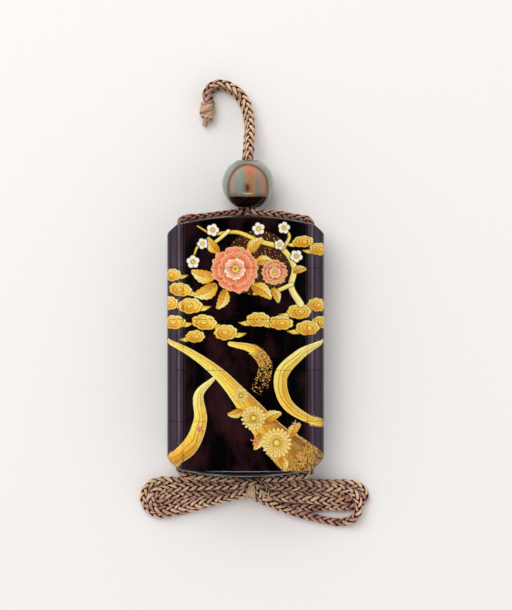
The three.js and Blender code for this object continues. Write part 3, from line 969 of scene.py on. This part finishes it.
def cloud(canvas, centre, size, tilt, curl):
    """A scalloped cloud with a wavy contour line, a curled heart and a trailing end."""
    wide, high = size, size * canvas.rng.uniform(0.56, 0.66)
    lobes = canvas.rng.integers(7, 10)
    phase = canvas.rng.uniform(0, math.pi)
    end = away(centre, curl * 1.75 * wide, tilt, 0.25 * high)
    start = away(centre, curl * 0.5 * wide, tilt, 0.3 * high)
    bend = ((start[0] + end[0]) / 2, (start[1] + end[1]) / 2 - 0.16 * high)
    stroke(canvas, [start, bend, end], [0.42 * high, 0.30 * high, 0.05], (GOLD, BRIGHT_GOLD, DEEP_GOLD))

    at = canvas.near(centre, 1.35 * wide)
    u, v = canvas.local(at, centre, tilt)
    angle = np.arctan2(v / high, u / wide)
    ring = np.hypot(u / wide, v / high)
    edge = 0.90 + 0.13 * np.abs(np.sin(lobes / 2 * angle + phase)) ** 0.8 + 0.03 * np.cos(2 * angle + phase)
    inside = (edge - ring) * (high + wide) / 2
    glow = 0.5 + 0.5 * (u / wide * 0.5 + v / high)
    canvas.lay(at, inside + 0.24, INK, 0.0)
    canvas.lay(at, inside, shade(glow, GOLD, BRIGHT_GOLD, PALE_GOLD))
    wave = inside - 0.30 * high + 0.05 * np.cos(lobes * angle)
    canvas.lay(at, wave, shade(glow, DEEP_GOLD, GOLD, BRIGHT_GOLD), soft=0.5)
    canvas.lay(at, 0.10 - np.abs(wave), BURNT_GOLD, soft=0.13)
    du, dv = (u + 0.10 * wide * curl) / wide, (v + 0.04 * high) / high
    heart = np.hypot(du, dv)
    wind = (heart / 0.30 - curl * np.arctan2(dv, du) / (2 * np.pi) + 0.3) % 1.0
    line = 0.10 - np.abs(wind - 0.5) * 0.30 * (high + wide) / 2
    canvas.lay(at, np.where((heart < 0.58) & (wave > 0.16), line, -1), BURNT_GOLD, soft=0.13)
    canvas.lay(at, (0.10 - heart) * high, PALE_GOLD)


def petal(canvas, centre, reach, wide, long, tilt, stops, rim):
    """A broad petal that points away from centre along tilt, notched at its tip and veined."""
    middle = away(centre, reach, tilt)
    at = canvas.near(middle, 1.5 * max(long, wide))
    u, v = canvas.local(at, middle, tilt)
    angle = np.arctan2(v / wide, u / long)
    ring = np.hypot(u / long, v / wide)
    notch = 0.20 * np.exp(-((angle / 0.22) ** 2)) + 0.045 * np.cos(8 * angle + tilt)
    inside = (1 - notch - ring) * (long + wide) / 2
    canvas.lay(at, inside + 0.13, UMBER, 0.0)
    canvas.lay(at, inside + 0.02, rim, 0.3)
    canvas.lay(at, inside - 0.13, shade(0.5 + 0.52 * u / long, *stops), 0.0, soft=0.2)
    fan = np.arctan2(v, u + 1.5 * long)
    vein = 0.05 - np.abs((fan / 0.15) % 1 - 0.5) * 0.15 * (u + 1.5 * long)
    canvas.lay(at, np.where((u < 0.55 * long) & (inside > 0.35), vein, -1), stops[0], 0.0, strength=0.75)


def peony(canvas, centre, radius, turn):
    """A coral bloom: three rounds of petals about a gold heart."""
    rounds = [(8, 0.66, 0.40, 0.37), (7, 0.43, 0.33, 0.32), (5, 0.22, 0.26, 0.25)]
    tones = [(DEEP_CORAL, CORAL, PALE_CORAL)] * 2 + [(CORAL, PALE_CORAL, SHELL_WHITE)]
    for row, (count, reach, wide, long) in enumerate(rounds):
        for i in canvas.rng.permutation(count):
            tilt = turn + 360 * (i + canvas.rng.uniform(-0.18, 0.18)) / count + 24 * row
            out = reach * radius * canvas.rng.uniform(0.92, 1.08)
            size = radius * canvas.rng.uniform(0.9, 1.1)
            petal(canvas, centre, out, wide * size, long * size, tilt, tones[row], PALE_GOLD)
    at, ring, angle = canvas.polar(centre, radius)
    canvas.lay(at, 0.17 * radius * (1 + 0.3 * np.cos(11 * angle)) - ring, UMBER, 0.0)
    canvas.lay(at, 0.14 * radius * (1 + 0.3 * np.cos(11 * angle)) - ring, BRIGHT_GOLD)
    canvas.lay(at, 0.05 * radius - ring, BURNT_GOLD)


def leaf(canvas, base, long, tilt):
    """A pointed gold leaf from its stalk at base, with a midrib and side veins."""
    middle = away(base, long / 2, tilt)
    at = canvas.near(middle, 0.8 * long)
    u, v = canvas.local(at, middle, tilt)
    v = v - 0.10 * long * np.cos(math.pi * u / long)
    t = np.clip(2 * u / long, -1, 1)
    half = 0.24 * long * (1 - t**2) ** 0.75 * (1 - 0.30 * t) + 0.03 * long * np.abs(np.sin(9 * t))
    inside = np.where(np.abs(u) < long / 2, half - np.abs(v), -1)
    canvas.lay(at, inside + 0.16, INK, 0.0)
    canvas.lay(at, inside, shade(0.5 + 0.5 * t + 0.25 * np.sign(v), DEEP_GOLD, GOLD, PALE_GOLD))
    canvas.lay(at, np.where(inside > 0.05, 0.09 - np.abs(v), -1), BURNT_GOLD, soft=0.13)
    rib = np.abs(((u - 0.9 * np.abs(v)) / (0.17 * long)) % 1 - 0.5) * 0.17 * long
    canvas.lay(at, np.where(inside > 0.15, 0.06 - rib, -1), BURNT_GOLD, soft=0.15, strength=0.85)


def blossom(canvas, centre, radius, turn):
    """A small white blossom of five round petals about a dark eye."""
    at, ring, angle = canvas.polar(centre, 1.6 * radius, turn)
    lobes = radius * (0.70 + 0.30 * np.abs(np.cos(2.5 * angle)) ** 0.7)
    canvas.lay(at, lobes + 0.38 - ring, INK, 0.0)
    canvas.lay(at, lobes - ring, SHELL_WHITE, 0.0)
    parting = 0.16 - np.abs(np.cos(2.5 * angle)) * ring
    canvas.lay(at, np.where(ring < 0.95 * radius, parting, -1), INK, 0.0)
    canvas.lay(at, 0.42 * radius - ring, INK, 0.0)
    thread = 0.09 - np.abs(np.sin(5 * angle)) * ring / 5
    canvas.lay(at, np.where((ring < 0.62 * radius) & (ring > 0.15 * radius), thread, -1), BRIGHT_GOLD)
    canvas.lay(at, 0.13 * radius - ring, PALE_GOLD)


def chrysanthemum(canvas, centre, radius, petals, turn):
    """A gold flower head of narrow petals in three rounds."""
    at, ring, angle = canvas.polar(centre, 1.3 * radius, turn)
    for share, shift, stops in (
        (1.0, 0.0, (BURNT_GOLD, GOLD, PALE_GOLD)),
        (0.72, 0.5, (BURNT_GOLD, GOLD, PALE_GOLD)),
        (0.45, 0.0, (DEEP_GOLD, BRIGHT_GOLD)),
    ):
        sector = (angle * petals / (2 * np.pi) + shift) % 1 - 0.5
        inside = radius * share * (1 - 1.1 * sector**2) - ring
        canvas.lay(at, inside + 0.15, UMBER, 0.0)
        canvas.lay(at, inside, shade(ring / radius / share, *stops))
        parting = (np.abs(sector) - 0.5) * 2 * np.pi / petals * ring + 0.085
        canvas.lay(at, np.where(inside > 0.05, parting, -1), UMBER, 0.0, soft=0.12)
    canvas.lay(at, 0.20 * radius - ring, BRIGHT_GOLD)
    canvas.lay(at, 0.07 - np.abs(ring - 0.20 * radius), UMBER, 0.0)


def maple(canvas, centre, radius, turn):
    """A coral maple leaf of six points with a gold edge."""
    at, ring, angle = canvas.polar(centre, 1.3 * radius, turn)
    point = np.abs(((angle / (2 * np.pi) * 6) % 1) - 0.5) * 2
    inside = radius * (0.30 + 0.70 * point**2.0) * (0.78 + 0.22 * np.cos(angle)) - ring
    canvas.lay(at, inside + 0.24, UMBER, 0.0)
    canvas.lay(at, inside + 0.08, PALE_GOLD)
    canvas.lay(at, inside - 0.08, CORAL, 0.0)


def stream(canvas, points, widths, stops, lines, whole):
    """A band of water. Past the share whole of its way it thins to powder."""
    at, inside, along, across = follow(canvas, points, widths)
    body = clamp((whole - along) / 0.16 + 0.5)
    ripple = 0.10 * np.sin(46 * along + 3.0 * across)
    bright = clamp(0.80 - 0.62 * (across + ripple))
    colour = shade(along + 0.15 * across, *stops) * (0.60 + 0.55 * bright)[:, None]
    canvas.lay(at, np.where(body > 0.02, inside, -1), clamp(colour), strength=body)
    canvas.lay(at, 0.10 - np.abs(inside - 0.12), PALE_GOLD, strength=body)
    for level in lines:
        drawn = 0.095 - np.abs(across + 0.10 * np.sin(30 * along + 9 * level) - level) * np.mean(widths)
        canvas.lay(at, np.where(inside > 0.3, drawn, -1), BURNT_GOLD, strength=0.9 * body)
    thin = clamp((1 - along) / max(1 - whole, 0.05))
    canvas.powder(at, np.where(inside > -0.5, 0.12 + 0.80 * thin, 0) * (along > whole - 0.12))


def scatter(canvas, motif, *places):
    """Draws a motif at each place: its x and y, then what else the motif asks for."""
    for x, y, *rest in places:
        motif(canvas, (x, y), *rest)


def border(canvas):
    """The foot's plain rim, and pale lines along rim and lid that are painted highlights on their rounded
    edges.
    """
    low = np.flatnonzero(canvas.y < RIM_LINE + 2)
    x, y = canvas.x[low], canvas.y[low]
    canvas.lay(low, RIM_LINE - y, RIM_BLACK, 0.0)
    canvas.dust[low] *= y > RIM_LINE
    # two painted highlight lines along the foot's rounded rim
    for middle, half, bright in (
        (RIM_LINE, 0.11, clamp(1.9 - np.abs(x) / 8)),
        (dome_at(FOOT_APEX, FOOT_SAG, x) + RIM_EDGE, 0.16, 0.45 + 0.55 * np.cos(x / 3.4) ** 2),
    ):
        canvas.lay(low, half - np.abs(y - middle), shade(bright, RIM_BLACK, PAINTED_EDGE_HIGHLIGHT), 0.0, soft=0.1)
    high = np.flatnonzero(canvas.y > LID_APEX - 6)
    x, y = canvas.x[high], canvas.y[high]
    # a painted highlight along the lid's rounded top edge, fading where the end turns away from the face
    edge = dome_at(LID_APEX, LID_SAG, x) - LID_EDGE
    bright = (0.55 + 0.3 * np.cos((x - 5) / 7.5)) * (np.abs(x) < CUT_IN - 0.6)
    near_face = clamp(1.25 - canvas.sunk[high] / EDGE_FADES)
    pale = shade(bright, RIM_BLACK, PAINTED_EDGE_HIGHLIGHT)
    canvas.lay(high, 0.36 - np.abs(y - edge), pale, 0.0, soft=0.3, strength=near_face)


def front_picture(canvas):
    """A peony spray and plum blossoms over banks of clouds, with streams and chrysanthemums below."""
    moon, ring, _ = canvas.polar((4.5, 29.5), 15)
    canvas.lay(moon, 11.6 - ring, (0.050, 0.017, 0.010), 0.0, soft=0.3)
    canvas.powder(moon, 0.05 * (ring < 11.6))

    for band in [
        (
            [(-28, 2.0), (-19, -2.5), (-9, -10), (0, -20), (9, -31), (20, -41), (26, -47)],
            [0.8, 1.6, 2.7, 4.4, 6.0, 7.6],
            (BRIGHT_GOLD, BRIGHT_GOLD, GOLD, DEEP_GOLD, BURNT_GOLD),
            (-0.55, -0.1, 0.4),
            0.86,
        ),
        (
            [(28, 2.0), (19, -3.0), (12.5, -10.5), (14.5, -20), (23, -26), (28.5, -27.5)],
            [0.6, 1.8, 2.4, 2.2, 1.6, 1.0],
            (PALE_GOLD, BRIGHT_GOLD, GOLD, BRIGHT_GOLD),
            (-0.3, 0.3),
            1.0,
        ),
        (
            [(-11.5, -11.5), (-16.5, -17), (-16.0, -26), (-19.5, -35), (-28, -42)],
            [0.7, 1.9, 2.5, 2.9, 2.0],
            (PALE_GOLD, BRIGHT_GOLD, GOLD, DEEP_GOLD),
            (-0.2, 0.35),
            1.0,
        ),
        (
            [(-5.5, 1.0), (2.5, -1.0), (7.0, -6.5), (5.0, -14.5)],
            [0.8, 1.5, 1.9, 2.2],
            (BRIGHT_GOLD, GOLD, DEEP_GOLD),
            (),
            0.45,
        ),
    ]:
        stream(canvas, *band)
    scatter(
        canvas, leaf,
        (6.0, -27.0, 7.6, 28), (5.5, -30.5, 6.4, -112), (15.4, -32.0, 6.2, 48),
        (-1.0, -22.5, 5.6, 196), (12.5, -39.0, 5.0, -70),
    )
    scatter(
        canvas, chrysanthemum,
        (2.8, -25.2, 4.4, 17, 8), (11.0, -34.0, 5.4, 20, 3), (-1.6, -17.2, 2.6, 13, 8),
    )
    scatter(
        canvas, maple,
        (19.4, -39.0, 2.5, 40), (3.6, -33.6, 2.2, 100), (17.4, -27.6, 1.8, 20),
        (-16.6, -29.0, 2.0, -30),
    )

    scatter(
        canvas, cloud,
        (-26.2, 25.4, 3.4, 4, 1), (-23.2, 20.2, 4.1, -6, 1), (-27.4, 15.4, 3.6, 0, 1),
        (-19.6, 14.4, 4.3, 4, 1), (-25.6, 8.6, 4.2, 3, 1), (-14.6, 8.6, 4.4, -4, 1),
        (-17.8, 3.6, 3.4, 5, -1), (-7.0, 5.0, 4.2, 3, 1), (26.4, 34.6, 3.7, 0, -1),
        (20.4, 37.2, 3.6, 5, -1), (25.6, 14.8, 3.7, -5, -1), (19.0, 12.4, 4.2, 3, -1),
        (27.2, 8.6, 3.6, 0, -1), (22.0, 6.6, 4.3, 4, -1), (12.4, 8.4, 4.3, -3, -1),
        (4.4, 9.6, 4.0, 4, -1),
    )

    branch = (PALE_GOLD, BRIGHT_GOLD, GOLD)
    for points, widths in [
        ([(19.5, 15), (16.2, 21), (17.2, 28), (13.0, 34.5), (5, 37.2), (-3, 40.4), (-12, 40.0), (-17, 42.6)],
         [1.15, 1.0, 0.9, 0.85, 0.7, 0.6, 0.45, 0.2]),
        ([(13.0, 34.5), (15.5, 39.0), (13.0, 43.4)], [0.6, 0.45, 0.2]),
        ([(-6.0, 40.8), (-11.5, 36.6), (-16.5, 35.8), (-18.8, 30.4)], [0.6, 0.5, 0.4, 0.2]),
        ([(16.4, 22.0), (9.5, 19.2), (3.0, 18.6)], [0.7, 0.55, 0.4]),
    ]:
        stroke(canvas, points, widths, branch)
    scatter(
        canvas, leaf,
        (-10.0, 21.8, 9.4, 204), (-10.8, 24.4, 8.8, 164), (-7.0, 20.2, 7.6, 246),
        (2.2, 21.6, 8.4, -34), (1.0, 33.2, 7.2, 44), (3.4, 29.8, 6.4, 2), (-9.4, 33.2, 6.8, 126),
        (9.4, 20.6, 5.6, -66), (16.8, 26.4, 5.0, 12),
    )
    scatter(canvas, peony, (10.4, 26.2, 4.5, 40), (-3.6, 27.4, 8.3, 12))
    scatter(
        canvas, blossom,
        (13.6, 42.0, 2.1, 10), (4.6, 41.6, 2.2, 30), (18.0, 32.0, 2.2, 55), (-11.6, 41.2, 2.2, 0),
        (-18.6, 30.0, 2.3, 20), (-15.2, 36.4, 1.9, 40), (12.0, 36.0, 1.8, 5),
    )


def back_picture(canvas):
    """A few clouds and one thin stream."""
    stream(
        canvas,
        [(-26, -17), (-12, -22), (0, -30), (12, -33), (26, -31)],
        [0.5, 1.6, 2.4, 1.7, 0.6],
        (BRIGHT_GOLD, GOLD, DEEP_GOLD),
        (0.0,),
        0.7,
    )
    scatter(
        canvas, cloud,
        (-12.0, 26.0, 4.6, 0, 1), (-4.0, 22.6, 4.0, 4, 1), (7.0, 25.6, 4.6, -4, -1),
        (17.0, 6.0, 4.2, 0, -1), (24.5, 9.6, 3.8, 0, -1),
    )


# --- the case ---

def face_height(x):
    """How far a face lies from the case's middle depth."""
    return HALF_DEPTH - np.maximum(0, x**2 - REST_FLAT**2) / (2 * FACE_RADIUS)


def half_profile(face_points, side_step):
    """The front right of the section: across the face, over the moulding, down the runner."""
    x = np.linspace(0, FACE_HALF, face_points)
    face = np.stack([x, face_height(x)], 1)
    width = MOULDING_END - FACE_HALF
    runner = FACE_EDGE - RUNNER_DROP
    corners = [
        (FACE_HALF, FACE_EDGE),
        (FACE_HALF + 0.1 * width, FACE_EDGE - GROOVE),
        (FACE_HALF + 0.3 * width, FACE_EDGE - 0.25 * GROOVE),
        (FACE_HALF + 0.6 * width, FACE_EDGE - 0.4 * GROOVE),
        (FACE_HALF + 0.9 * width, FACE_EDGE - 1.5 * GROOVE),
        (MOULDING_END, runner),
        (HALF_WIDTH - SHOULDER_IN, runner - SHOULDER_DROP),
        (HALF_WIDTH - 0.4, runner - 3.1),
        (HALF_WIDTH, runner - 4.9),
        (HALF_WIDTH, 0.0),
    ]
    side = smooth_route([(x, 0, z) for x, z in corners], side_step)[1:, [0, 2]]
    return np.vstack([face, side])


def case_section():
    """The whole section as a ring of points (x, z), fine in front, and the directions into it."""
    fine, coarse = half_profile(110, 0.2), half_profile(28, 0.5)
    front = np.vstack([fine[:0:-1] * [-1, 1], fine])
    back = np.vstack([coarse[:0:-1] * [1, -1], coarse * [-1, -1]])[1:-1]
    ring = np.vstack([front, back])
    way = unit(np.roll(ring, -1, axis=0) - np.roll(ring, 1, axis=0))
    return ring, np.stack([way[:, 1], -way[:, 0]], 1)


def hollow_section(ring, grow):
    """The hollow's outline, with one point for each point of the outer section."""
    a = np.arctan2(ring[:, 1] / HALF_DEPTH, ring[:, 0] / HALF_WIDTH)
    c, s = np.cos(a), np.sin(a)
    power = 2 / HOLLOW_POWER
    x = (HOLLOW_HALF_WIDTH + grow) * np.sign(c) * np.abs(c) ** power
    z = (HOLLOW_HALF_DEPTH + grow) * np.sign(s) * np.abs(s) ** power
    return np.stack([x, z], 1)


def soft_min(a, b, blend):
    """The smaller of two values, with the crease between them rounded off."""
    h = clamp(0.5 + 0.5 * (b - a) / blend)
    return b + (a - b) * h - blend * h * (1 - h)


def plate(section, apex, sag):
    """How far the end plate reaches from the case's middle, at points (x, z)."""
    x, z = section[:, 0], section[:, 1]
    dome = abs(apex) - sag * (x / SAG_AT) ** 2 - DOME_RISE * (z / HALF_DEPTH) ** 2
    slope = (CUT_TOP - CUT_SIDE) / (HALF_WIDTH - CUT_IN)
    return soft_min(dome, CUT_SIDE + (HALF_WIDTH - np.abs(x)) * slope, 0.5)


def level(section, y):
    """A section's points at height y along the case."""
    return np.stack([section[:, 0], np.broadcast_to(y, len(section)), section[:, 1] + HALF_DEPTH], 1)


def rounded(ring, inward, radius, steps):
    """A section drawn in round a quarter turn: pairs of section and depth below the end."""
    for a in np.linspace(0, np.pi / 2, steps):
        yield ring + inward * radius * (1 - math.cos(a)), radius * (1 - math.sin(a))


def end_rows(ring, inward, apex, sag, radius):
    """From the wall, round the edge and over an end plate to near its middle."""
    end = math.copysign(1, apex)
    rows = [level(p, end * (plate(p, apex, sag) - down)) for p, down in rounded(ring, inward, radius, 7)]
    rim = rows[-1][:, [0, 2]] - [0, HALF_DEPTH]
    for share in np.linspace(1, 0, 26)[1:-1]:
        rows.append(level(rim * share, end * plate(rim * share, apex, sag)))
    return rows


def seam_rows(ring, inward, y, end):
    """From the wall, round the edge on to the flat of a seam at y that faces end."""
    return [level(p, y - end * down) for p, down in rounded(ring, inward, SEAM_ROUND, SEAM_STEPS)]


def wall_rows(first, last):
    """Rings down the wall, close enough for the picture's lines."""
    steps = math.ceil(np.abs(last - first)[:, 1].max() / WALL_PITCH)
    return [first + (last - first) * i / steps for i in range(1, steps)]


def inside_rows(section, y):
    """From the edge of a flat floor or ceiling to near its middle."""
    return [level(section * share, y) for share in np.linspace(1, 0, 8)[:-1]]


def closed_skin(rows):
    """Points and faces of one closed body from rings of points."""
    points = np.vstack([*rows, rows[0].mean(0), rows[-1].mean(0)])
    return points, closed_faces(len(rows), len(rows[0]))


def cut_channels(piece):
    """Drills the two cord channels through a piece."""
    turns = 2 * np.pi * np.arange(DRILL_SIDES) / DRILL_SIDES
    for side in (-1, 1):
        x, z = side * CHANNEL_X + CHANNEL_R * np.sin(turns), HALF_DEPTH + CHANNEL_R * np.cos(turns)
        points, faces = closed_skin([np.stack([x, 0 * x + y, z], 1) for y in (-DRILL_REACH, DRILL_REACH)])
        drill = mesh_object("drill", points, faces, piece.data.materials[0])
        cut = piece.modifiers.new("channel", "BOOLEAN")
        cut.operation = "DIFFERENCE"
        cut.solver = "EXACT"
        cut.object = drill
        bpy.context.view_layer.update()
        shape = bpy.data.meshes.new_from_object(piece.evaluated_get(bpy.context.evaluated_depsgraph_get()))
        piece.modifiers.clear()
        piece.data = shape
        bpy.data.objects.remove(drill)
    piece.data.shade_smooth()


def folded_out(x, z):
    """The x of each point once the narrow sides are turned out level with the faces."""
    edge = HALF_WIDTH - SHOULDER_IN
    over = np.abs(x) - edge
    down = np.maximum(0, FACE_EDGE - RUNNER_DROP - SHOULDER_DROP - np.abs(z - HALF_DEPTH))
    return np.where(over > 0, np.sign(x) * (edge + np.hypot(over, down)), x)


def paint(piece, points, shown):
    """Lays the front and back pictures over a piece's outer faces."""
    x, y, z = points.T
    sunk = face_height(x) - np.abs(z - HALF_DEPTH)
    x = folded_out(x, z)
    colour = np.zeros((len(x), 4))
    layers = {name: np.zeros(len(x)) for name in ("cover", "metal", "dust")}
    for facing, picture in ((1, front_picture), (-1, back_picture)):
        seen = np.flatnonzero(shown & (facing * (z - HALF_DEPTH) > 0))
        canvas = Canvas(x[seen], y[seen], sunk[seen])
        picture(canvas)
        border(canvas)
        colour[seen, :3] = canvas.colour
        for name, values in layers.items():
            values[seen] = getattr(canvas, name)
    store(piece.data, "picture", colour, "FLOAT_COLOR")
    for name, values in layers.items():
        store(piece.data, name, values)


def case_piece(name, top, bottom, floor, ceiling, material):
    """One piece of the case as a closed skin, from its inside over its wall to its underside."""
    ring, inward = case_section()
    hollow = hollow_section(ring, 0)
    riser = hollow_section(ring, RISER_WALL)
    recess = hollow_section(ring, RISER_WALL + RISER_CLEARANCE)
    if top is None:
        upper = end_rows(ring, inward, LID_APEX, LID_SAG, LID_ROUND)[::-1]
    else:
        upper = inside_rows(hollow, floor)[::-1]
        upper.append(level(hollow, top + RISER_HEIGHT))
        upper.append(level(riser, top + RISER_HEIGHT))
        upper.append(level(riser, top))
        upper.extend(seam_rows(ring, inward, top, 1)[::-1])
    if bottom is None:
        lower = end_rows(ring, inward, FOOT_APEX, FOOT_SAG, FOOT_ROUND)
    else:
        lower = seam_rows(ring, inward, bottom, -1)
        lower.append(level(recess, bottom))
        lower.extend(inside_rows(recess, ceiling))
    rows = [*upper, *wall_rows(upper[-1], lower[0]), *lower]
    points, faces = closed_skin(rows)
    made = mesh_object(name, points, faces, material)
    first = 0 if top is None else len(upper) - SEAM_STEPS
    last = len(rows) - (0 if bottom is None else len(lower) - SEAM_STEPS)
    shown = np.zeros(len(points), bool)
    shown[first * len(ring) : last * len(ring)] = True
    paint(made, points, shown)
    cut_channels(made)
    return made


def seam(i):
    """Where the seam under piece i lies in y, with the lid as piece 0."""
    return FIRST_SEAM - TRAY_HEIGHT * i


def make_case(material):
    """The lid and the trays, with a hair's breadth between them at each seam."""
    low = seam(0) + SEAM_GAP / 2
    lid = case_piece("lid_lacquer", None, low, None, LID_APEX - LID_PLATE, material)
    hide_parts("lid")
    for i in range(1, TRAYS + 1):
        last = i == TRAYS
        bottom = None if last else seam(i) + SEAM_GAP / 2
        ceiling = None if last else bottom + RISER_HEIGHT + CLEAR
        floor = FOOT_APEX + FOOT_PLATE if last else ceiling + FLOOR
        tray = case_piece(f"tray_{i}_lacquer", seam(i - 1) - SEAM_GAP / 2, bottom, floor, ceiling, material)
        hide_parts(f"tray_{i}")


# --- everything together ---

make_camera()
make_light()

silk_material = silk()
lacquer_material = lacquer()
agate_material = agate()

make_table(paper())
bead = make_bead(agate_material)
knot = make_end_knot(silk_material)
for name, side in (("left", -1), ("right", 1)):
    route = smooth_route(upper_route(side), BRAID_STEP)
    silk_cord = Silk()
    pressed = pressed_share(route, BEAD_AT[0], LID_APEX + 4)
    silk_cord.braid(route, phase=side, size=1 - PRESSED * pressed, darkened=pressed)
    piece = silk_cord.made(f"upper_braid_{name}", silk_material)
    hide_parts(f"cord_upper_{name}")
    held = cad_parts[f"cord_in_channel_{name}"]
    held.data.materials.clear()
    held.data.materials.append(silk_material)
make_bow(silk_material)

make_case(lacquer_material)

bpy.context.scene.view_settings.view_transform = "Standard"
